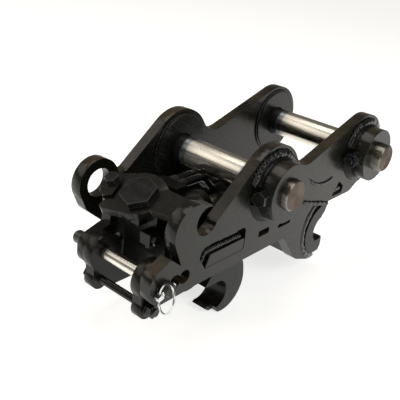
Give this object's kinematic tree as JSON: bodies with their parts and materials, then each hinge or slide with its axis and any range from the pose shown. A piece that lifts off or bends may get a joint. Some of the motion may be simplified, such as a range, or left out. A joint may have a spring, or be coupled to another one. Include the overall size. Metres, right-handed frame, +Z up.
{
  "type": "quick coupler",
  "caption": "Quick coupler for a small excavator: twin side plates on two cross pins, a fixed front jaw and a sliding rear hook pair held by a hydraulic cylinder and a lock pin.",
  "frame": {"origin": "middle of the rear machine pin's axis, halfway between the side plates", "axes": "+X towards the front jaw and the link pin, +Y across the coupler to the plate with the lifting eye, +Z up"},
  "size_m": [0.6056, 0.291, 0.2819],
  "materials": {
    "black_paint": "satin black enamel over welded plate",
    "cast_black": "satin black enamel over cast steel",
    "ground_steel": "ground bright steel",
    "hose_rubber": "smooth black hose cover",
    "zinc_steel": "bright zinc plating",
    "machined_steel": "turned steel",
    "bronze": "bearing bronze",
    "seal_rubber": "moulded seal",
    "dark_bolt": "black oxide, lightly oiled"
  },
  "bodies": {
    "frame": {"bolt_seats": "black_paint", "boss_far_front": "black_paint", "boss_far_rear": "black_paint", "boss_near_front": "black_paint", "boss_near_rear": "black_paint", "boss_welds": "black_paint", "check_valve": "black_paint", "cylinder_barrel": "black_paint", "cylinder_cap": "black_paint", "cylinder_gland": "black_paint", "deck_plate": "black_paint", "front_jaw": "cast_black", "guide_far": "black_paint", "guide_near": "black_paint", "guide_weld": "black_paint", "hose_a": "hose_rubber", "hose_b": "hose_rubber", "hose_bulkhead": "black_paint", "hose_ferrules": "zinc_steel", "hose_nuts": "zinc_steel", "inner_rail": "black_paint", "jaw_wall": "black_paint", "jaw_welds": "black_paint", "keeper_bolt": "dark_bolt", "keeper_strap": "black_paint", "link_pin": "ground_steel", "link_pin_bolt": "dark_bolt", "link_pin_nuts": "dark_bolt", "lock_pin": "ground_steel", "pivot_bolt": "dark_bolt", "port_manifold": "black_paint", "rail_spacers": "black_paint", "side_plate_far": "black_paint", "side_plate_near": "black_paint", "stick_pin": "ground_steel", "stick_pin_bolt": "dark_bolt", "stick_pin_nut": "dark_bolt", "thrust_rings": "black_paint", "top_plate": "black_paint", "valve_plugs": "dark_bolt"},
    "hooks": {"hook_near": "cast_black", "hook_far": "cast_black", "hook_carriage": "black_paint", "wear_strips": "bronze", "piston_rod": "ground_steel", "rod_nut": "dark_bolt", "piston": "machined_steel", "piston_seals": "seal_rubber"},
    "yoke": {"yoke_link_near": "black_paint", "yoke_link_far": "black_paint", "tie_bolt": "dark_bolt", "tie_nut": "dark_bolt", "tie_washers": "dark_bolt"},
    "linch": {"linch_pin": "zinc_steel"},
    "ring": {"linch_ring": "zinc_steel"}
  },
  "joints": [
    {"name": "hook_slide", "type": "slide", "parent": "frame", "child": "hooks", "axis": [1, 0, 0], "range_m": [-0.04, 0.02]},
    {"name": "yoke_swing", "type": "hinge", "parent": "frame", "child": "yoke", "pos_m": [-0.229, -0.0295, -0.09], "axis": [0, 1, 0], "range_deg": [-28, 25]},
    {"name": "linch_pull", "type": "slide", "parent": "frame", "child": "linch", "axis": [-0.9511, 0, -0.309], "range_m": [0, 0.03]},
    {"name": "ring_flip", "type": "hinge", "parent": "linch", "child": "ring", "pos_m": [-0.2466, -0.1145, -0.09572], "axis": [-0.3917, -0.3121, -0.8655], "range_deg": [0, 50]}
  ]
}
